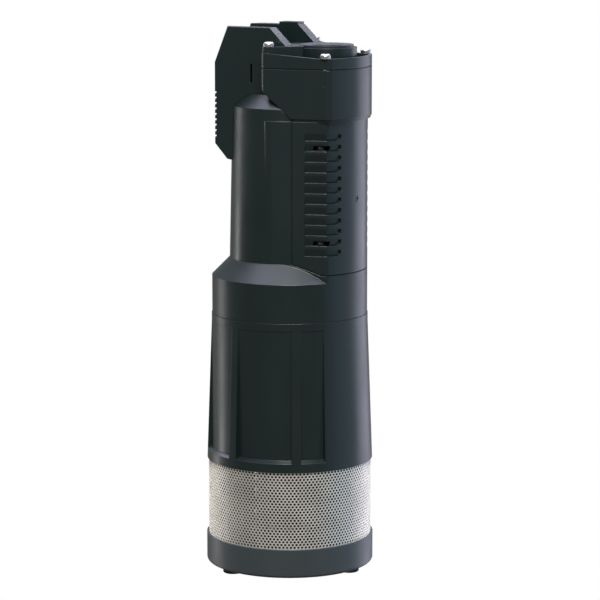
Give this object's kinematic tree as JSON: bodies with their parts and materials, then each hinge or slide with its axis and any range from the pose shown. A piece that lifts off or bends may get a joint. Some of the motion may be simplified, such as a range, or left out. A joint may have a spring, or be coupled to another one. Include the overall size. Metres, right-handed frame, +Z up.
{
  "type": "submersible bilge pump",
  "caption": "Tall submersible multistage bilge pump: strainer foot, stage stack, sealed motor, control compartment with service panel, check-valve outlet and carrying handle.",
  "frame": {"origin": "centre of the circle the pump stands in, at the bottom of its feet", "axes": "+Z up along the shaft, -Y towards the service panel and the outlet, +Y towards the carrying handle, +X to the right seen from the panel"},
  "size_m": [0.15, 0.15, 0.4888],
  "materials": {
    "black_plastic": "satin",
    "slate_plastic": "satin",
    "inner_plastic": "moulded",
    "stage_plastic": "moulded",
    "rubber": "matte",
    "strainer_steel": "brushed",
    "screw_steel": "polished",
    "screw_black": "black oxide",
    "spring_steel": "satin",
    "shaft_steel": "ground",
    "cage_steel": "pressed",
    "shell_steel": "drawn",
    "seal_ceramic": "lapped",
    "seal_carbon": "lapped",
    "cast_alloy": "cast",
    "core_steel": "laminated",
    "rotor_alloy": "cast",
    "copper_winding": "varnished",
    "board_green": "solder mask",
    "component_plastic": "moulded",
    "sensor_brass": "turned",
    "outlet_plastic": "moulded",
    "valve_plastic": "moulded"
  },
  "bodies": {
    "housing": {"upper_casing": "black_plastic", "lower_casing": "black_plastic", "service_panel": "black_plastic", "head_body": "black_plastic", "top_lid": "black_plastic", "carry_handle": "black_plastic", "base_cup": "slate_plastic", "suction_cage": "inner_plastic", "valve_guide": "inner_plastic", "gland_body": "inner_plastic", "gland_nut": "inner_plastic", "latch_clips": "inner_plastic", "panel_screw": "screw_black", "stage_casings": "stage_plastic", "diffusers": "stage_plastic", "seal_plate": "stage_plastic", "rubber_feet": "rubber", "casing_o_ring": "rubber", "panel_gasket": "rubber", "outlet_o_ring": "rubber", "duct_o_ring": "rubber", "gland_grommet": "rubber", "lip_seal": "rubber", "strainer_screen": "strainer_steel", "base_screws": "screw_steel", "tie_bolts": "screw_steel", "lid_screws": "screw_steel", "head_screws": "screw_steel", "board_screws": "screw_steel", "valve_spring": "spring_steel", "wear_rings": "spring_steel", "bearing_outer_rings": "shaft_steel", "motor_shell": "shell_steel", "seal_seat": "seal_ceramic", "bearing_bracket": "cast_alloy", "end_shield": "cast_alloy", "stator_core": "core_steel", "stator_windings": "copper_winding", "control_board": "board_green", "board_components": "component_plastic", "run_capacitor": "component_plastic", "pressure_sensor": "sensor_brass", "valve_seat": "sensor_brass", "outlet_socket": "outlet_plastic"},
    "rotor": {"pump_shaft": "shaft_steel", "rotor_core": "core_steel", "rotor_end_rings": "rotor_alloy", "bearing_inner_rings": "shaft_steel", "impellers": "stage_plastic", "impeller_spacers": "spring_steel", "shaft_nut": "screw_steel", "shaft_washer": "screw_steel", "seal_ring": "seal_carbon", "seal_spring": "spring_steel", "seal_collar": "spring_steel"},
    "ball_set": {"bearing_balls": "shaft_steel", "ball_cages": "cage_steel"},
    "poppet": {"valve_poppet": "valve_plastic", "poppet_seal": "rubber"}
  },
  "joints": [
    {"name": "rotor_spin", "type": "hinge", "parent": "housing", "child": "rotor", "pos_m": [0, 0, 0.245], "axis": [0, 0, 1], "continuous": true},
    {"name": "ball_set_spin", "type": "hinge", "parent": "housing", "child": "ball_set", "pos_m": [0, 0, 0.245], "axis": [0, 0, 1], "continuous": true},
    {"name": "poppet_slide", "type": "slide", "parent": "housing", "child": "poppet", "axis": [0, 0, 1], "range_m": [0, 0.008], "stiffness_N_per_m": 120, "springref_m": -0.002, "deforming": ["valve_spring"]}
  ],
  "couplings": [
    {"joint": "ball_set_spin", "follows": "rotor_spin", "ratio": 0.402}
  ]
}
